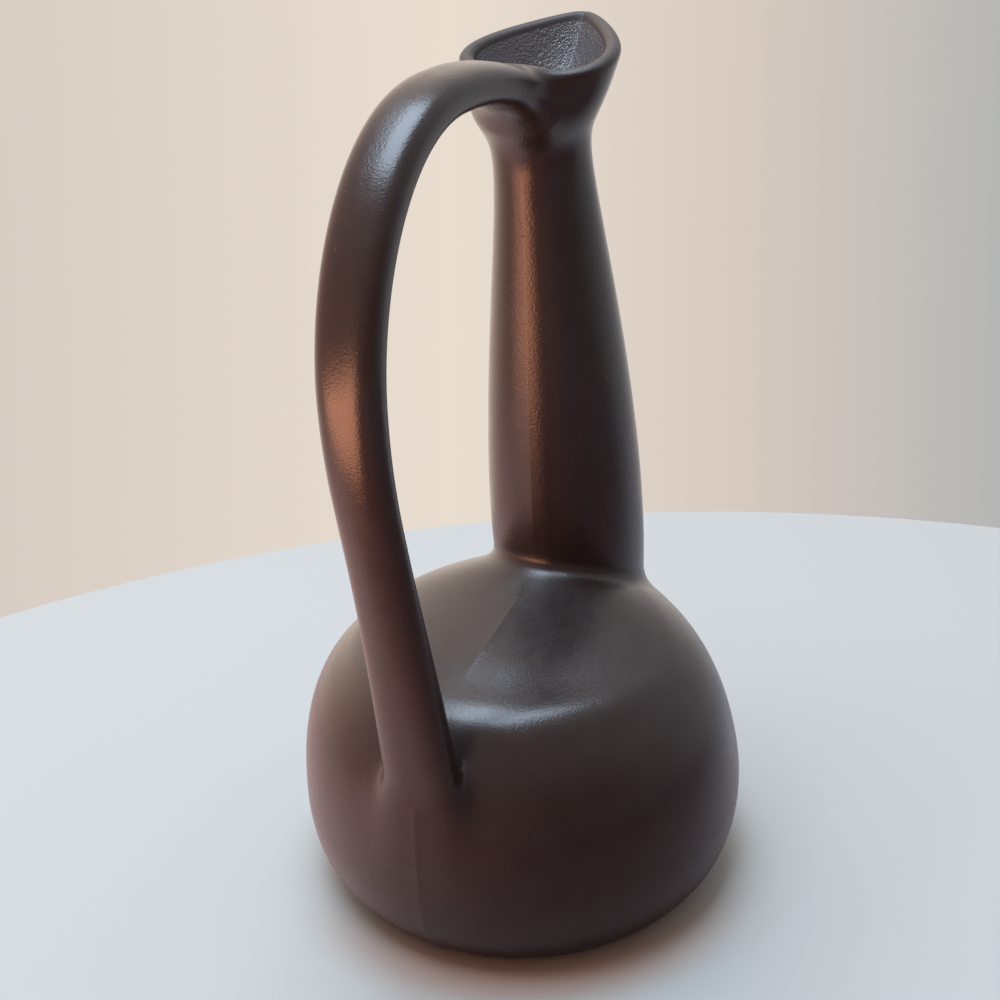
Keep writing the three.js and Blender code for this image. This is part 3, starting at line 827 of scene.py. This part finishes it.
belly = make_piece("belly_body", belly_points, belly_faces, [burnished_clay])
shade_joint(belly.data, belly_facings, belly_shares * (1 - np.minimum(2 * belly_seam, 1)))

# The neck is burnished outside, bare on the rim and glazed inside
finish = np.zeros(len(neck_faces), np.int32)
finish[(len(tube) + BURNISHED_RIM_ROWS) * NECK_SEGMENTS:] = 1
finish[(len(tube) + len(rim) + BARE_LINER_ROWS) * NECK_SEGMENTS:] = 2
neck = make_piece("neck_tube", neck_points, neck_faces, [burnished_clay, rim_clay, liner_glaze], finish)
shade_joint(neck.data, neck_facings, neck_shares)

# Coil of soft clay in the angle round the neck's foot, tangent to belly and neck
speed = np.linalg.norm(belly_skin(2.0, turn) - belly_skin(2.0 - STEP, turn), axis=-1) / STEP
belly_rail_row = 2 - NECK_FILLET / speed
neck_rail_row = np.full_like(turn, NECK_FILLET / (3 * NECK_SWELL_RISE))
belly_rail = belly_skin(belly_rail_row, turn)
neck_rail = neck_skin(neck_rail_row, turn)
belly_way = skin_frame(belly_skin, belly_rail_row, turn)[1]
neck_way = skin_frame(neck_skin, neck_rail_row, turn)[1]
sweep = np.linspace(0, 1, COIL_ROWS)[:, None, None]
hollow = mixed(
    sweep, belly_rail, belly_rail + belly_way * NECK_FILLET * COIL_FULLNESS,
    neck_rail - neck_way * NECK_FILLET * COIL_FULLNESS, neck_rail,
)
hidden = joint_ring(NECK_FOOT_RADIUS - half_wall, -half_wall, turn)
coil_points, coil_faces = loft(np.concatenate([hollow, hidden]), joined=True)
coil = make_piece("neck_joint", coil_points, coil_faces, [joint_clay])

# The coil's two edges are shaded as the belly and the neck that they touch
edge_facings = np.zeros((len(hollow) + 1, NECK_SEGMENTS, 3))
edge_facings[0] = skin_frame(belly_skin, belly_rail_row, turn)[0]
edge_facings[len(hollow) - 1] = skin_frame(neck_skin, neck_rail_row, turn)[0]
edge_facings = edge_facings.reshape(-1, 3)
shade_joint(coil.data, edge_facings, np.linalg.norm(edge_facings, axis=1))

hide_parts("belly")
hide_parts("neck")
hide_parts("neck_joint_coil")
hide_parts("handle", "handle_foot_coil", "handle_top_coil")
for piece, slot in (
    (belly, "burnished_clay"), (neck, "burnished_clay"), (handle, "burnished_clay"), (coil, "joint_clay"),
):
    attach(piece, "root")

# Floor and light

# Floor: a round sheet, in millimetres, with a warm brown contact shadow painted on it from the foot's edge
# out at the viewer's side
FLOOR_RADIUS = 460.0
FLOOR_MIDDLE = (-198.0, -149.0)
FLOOR_DEPTH = 20.0
FLOOR_SIDES = 180
# Where the painted contact shadow lies: from the foot's edge outward, and on the viewer's side
CONTACT_SHADOW_FROM = 56.0
CONTACT_SHADOW_TO = 78.0
CONTACT_SHADOW_SIDE_FROM = 25.0
CONTACT_SHADOW_SIDE_TO = 60.0
# Reaches of the painted warm light at the left and of the painted shade at the viewer's side, in the floor
# that the vase sees
PAINTED_WARM_REACH = 250.0
SHADED_REACH = 500.0

# Directions across the floor and round the room, each about as long as 1
VIEWER_WAY = (-0.88, -0.47, 0.0)
FLOOR_LEFT_WAY = (-0.64, 0.77, 0.0)
FLOOR_NEAR_WAY = (-0.64, -0.77, 0.0)
ROOM_BEHIND_WAY = (0.64, 0.77, 0.0)
ROOM_LEFT_WAY = (-0.57, 0.82, 0.0)
BACKDROP_RIGHT_WAY = (0.449, -0.893, -0.039)
BACKDROP_REACH = 0.27


def graded(tree, spot, direction, low, high, stops):
    """Colours that change along a direction, between the two distances given."""
    along = add(tree, "ShaderNodeVectorMath", {"operation": "DOT_PRODUCT"}, {0: spot, 1: direction})
    share = add(tree, "ShaderNodeMapRange", {}, {
        "Value": along.outputs["Value"], "From Min": low, "From Max": high,
    })
    ramp = add(tree, "ShaderNodeValToRGB", {}, {"Fac": share.outputs["Result"]})
    elements = ramp.color_ramp.elements
    for position, _ in stops[1:-1]:
        elements.new(position)
    for element, (position, hex_code) in zip(elements, stops):
        element.position, element.color = position, linear(hex_code)
    return ramp.outputs["Color"]


def pale_floor():
    """Matt pale sheet, with a warm brown contact shadow painted on it by the foot at the viewer's side.
    The vase itself sees it with painted shade, brown, at that side and painted warm light at the left."""
    material = bpy.data.materials.new("pale_floor")
    material.use_nodes = True
    tree = material.node_tree
    at = add(tree, "ShaderNodeTexCoord", {}, {}).outputs["Object"]
    # What the vase sees of the floor: painted warm light at the left, and painted shade, brown, towards the
    # viewer
    across = graded(tree, at, FLOOR_LEFT_WAY, -PAINTED_WARM_REACH * MM, PAINTED_WARM_REACH * MM, [
        (0.0, "#b4b9c2"), (0.5, "#c6bdba"), (0.75, "#ffd1c5"), (1.0, "#ffcbbc"),
    ])
    painted_front_shade = graded(tree, at, FLOOR_NEAR_WAY, 0.0, SHADED_REACH * MM, [
        (0.0, "#ffffff"), (0.18, "#b8a3a3"), (0.4, "#8a6769"), (1.0, "#b9bcc4"),
    ])
    painted_light_and_shade = mixed_colours(tree, "MULTIPLY", 1.0, across, painted_front_shade)
    # Painted warm contact shadow, seen by the camera: the sheet turns brown by the foot at the viewer's
    # side
    far = add(tree, "ShaderNodeVectorMath", {"operation": "LENGTH"}, {0: at}).outputs["Value"]
    close = add(tree, "ShaderNodeMapRange", {"interpolation_type": "SMOOTHSTEP"}, {
        "Value": far, "From Min": CONTACT_SHADOW_FROM * MM, "From Max": CONTACT_SHADOW_TO * MM, "To Min": 1.0, "To Max": 0.0,
    }).outputs["Result"]
    front = add(tree, "ShaderNodeVectorMath", {"operation": "DOT_PRODUCT"}, {0: at, 1: VIEWER_WAY})
    facing = add(tree, "ShaderNodeMapRange", {}, {
        "Value": front.outputs["Value"], "From Min": CONTACT_SHADOW_SIDE_FROM * MM, "From Max": CONTACT_SHADOW_SIDE_TO * MM,
    }).outputs["Result"]
    painted_contact_shadow = add(tree, "ShaderNodeMath", {"operation": "MULTIPLY"}, {0: close, 1: facing}).outputs[0]
    sheet = mixed_colours(tree, "MIX", painted_contact_shadow, linear("#c8cbc7"), linear("#c9a18b"))
    # The camera sees the sheet with its painted contact shadow; all other rays see the painted light and
    # shade
    seen = add(tree, "ShaderNodeLightPath", {}, {}).outputs["Is Camera Ray"]
    colour = mixed_colours(tree, "MIX", seen, painted_light_and_shade, sheet)
    shader = tree.nodes["Principled BSDF"]
    tree.links.new(colour, shader.inputs["Base Color"])
    shader.inputs["Roughness"].default_value = 0.5
    return material


floor_turn = np.arange(FLOOR_SIDES) / (FLOOR_SIDES / 2) * math.pi
floor_ring = around_axis(FLOOR_RADIUS, 0, floor_turn) + place(*FLOOR_MIDDLE, 0)
floor_points = np.vstack([floor_ring, floor_ring + place(0, 0, -FLOOR_DEPTH)])
floor_faces = [list(range(FLOOR_SIDES)), list(range(2 * FLOOR_SIDES - 1, FLOOR_SIDES - 1, -1))]
for i in range(FLOOR_SIDES):
    after = (i + 1) % FLOOR_SIDES
    floor_faces.append([i, FLOOR_SIDES + i, FLOOR_SIDES + after, after])
floor = make_piece("floor", floor_points, floor_faces, [pale_floor()])
floor.data.shade_flat()


def lamp(name, hex_code, power, size, at, towards):
    """A rectangle of light that the camera doesn't see, in millimetres, turned towards a point."""
    data = bpy.data.lights.new(name, "AREA")
    data.shape = "RECTANGLE"
    data.color = linear(hex_code)[:3]
    data.energy = power
    data.size, data.size_y = Vector(size) * MM
    made = bpy.data.objects.new(name, data)
    made.location = Vector(at) * MM
    made.rotation_euler = (Vector(towards) - Vector(at)).to_track_quat("-Z", "Y").to_euler()
    made.visible_camera = False
    bpy.context.scene.collection.objects.link(made)


# A cool softbox overhead, and a warm card low at the left
lamp("overhead_softbox", "#cfe5fb", 14.5, (880, 660), (-20, 160, 1200), (-20, 160, 0))
lamp("low_warm_card", "#ffac84", 10.5, (1210, 440), (-895, 240, 5), (-895, 240, 1000))

# The room: dark brown at the viewer's side, warm at the left, with a backdrop that runs from cream to grey
world = bpy.data.worlds.new("room")
bpy.context.scene.world = world
world.use_nodes = True
tree = world.node_tree
heading = add(tree, "ShaderNodeTexCoord", {}, {}).outputs["Generated"]
depth = graded(tree, heading, ROOM_BEHIND_WAY, -1, 1, [
    (0.0, "#5d4943"), (0.3, "#8f8b8c"), (0.75, "#b5b2b2"), (1.0, "#fff4ea"),
])
warmth = graded(tree, heading, ROOM_LEFT_WAY, -1, 1, [
    (0.0, "#f4f8ff"), (0.5, "#fff8f2"), (0.75, "#fff0e8"), (0.9, "#ffdfd2"), (1.0, "#ffcfc2"),
])
room = tree.nodes["Background"]
tree.links.new(mixed_colours(tree, "MULTIPLY", 1.0, depth, warmth), room.inputs["Color"])
room.inputs["Strength"].default_value = 1.5
backdrop = graded(tree, heading, BACKDROP_RIGHT_WAY, -BACKDROP_REACH, BACKDROP_REACH, [
    (0.0, "#d8cdc4"), (0.45, "#e9ddd0"), (0.75, "#d6cac0"), (1.0, "#b5b6b5"),
])
seen = add(tree, "ShaderNodeBackground", {}, {"Color": backdrop, "Strength": 1.0})
path = add(tree, "ShaderNodeLightPath", {}, {}).outputs["Is Camera Ray"]
either = add(tree, "ShaderNodeMixShader", {}, {0: path, 1: room.outputs[0], 2: seen.outputs[0]})
tree.links.new(either.outputs[0], tree.nodes["World Output"].inputs["Surface"])

# Camera: where the photo was taken from, the place in the mirror plane that it aims at, and its roll
CAMERA_SPOT = Vector((-388.625, -201.196, 335.414))
CAMERA_AIM = Vector((-7.154, 0.0, 119.5))
CAMERA_ROLL = math.radians(-2.4895)
SENSOR_WIDTH = 36.0
FOCAL_RATIO = 1.7777
camera_data = bpy.data.cameras.new("camera")
camera_data.sensor_width = SENSOR_WIDTH
camera_data.lens = SENSOR_WIDTH * FOCAL_RATIO
camera_data.clip_start = 0.01
camera = bpy.data.objects.new("camera", camera_data)
aimed = (CAMERA_AIM - CAMERA_SPOT).to_track_quat("-Z", "Y").to_matrix().to_4x4()
rolled = Matrix.Rotation(CAMERA_ROLL, 4, "Z")
camera.matrix_world = Matrix.Translation(CAMERA_SPOT * MM) @ aimed @ rolled
bpy.context.scene.collection.objects.link(camera)
bpy.context.scene.camera = camera
bpy.context.scene.view_settings.view_transform = "Standard"
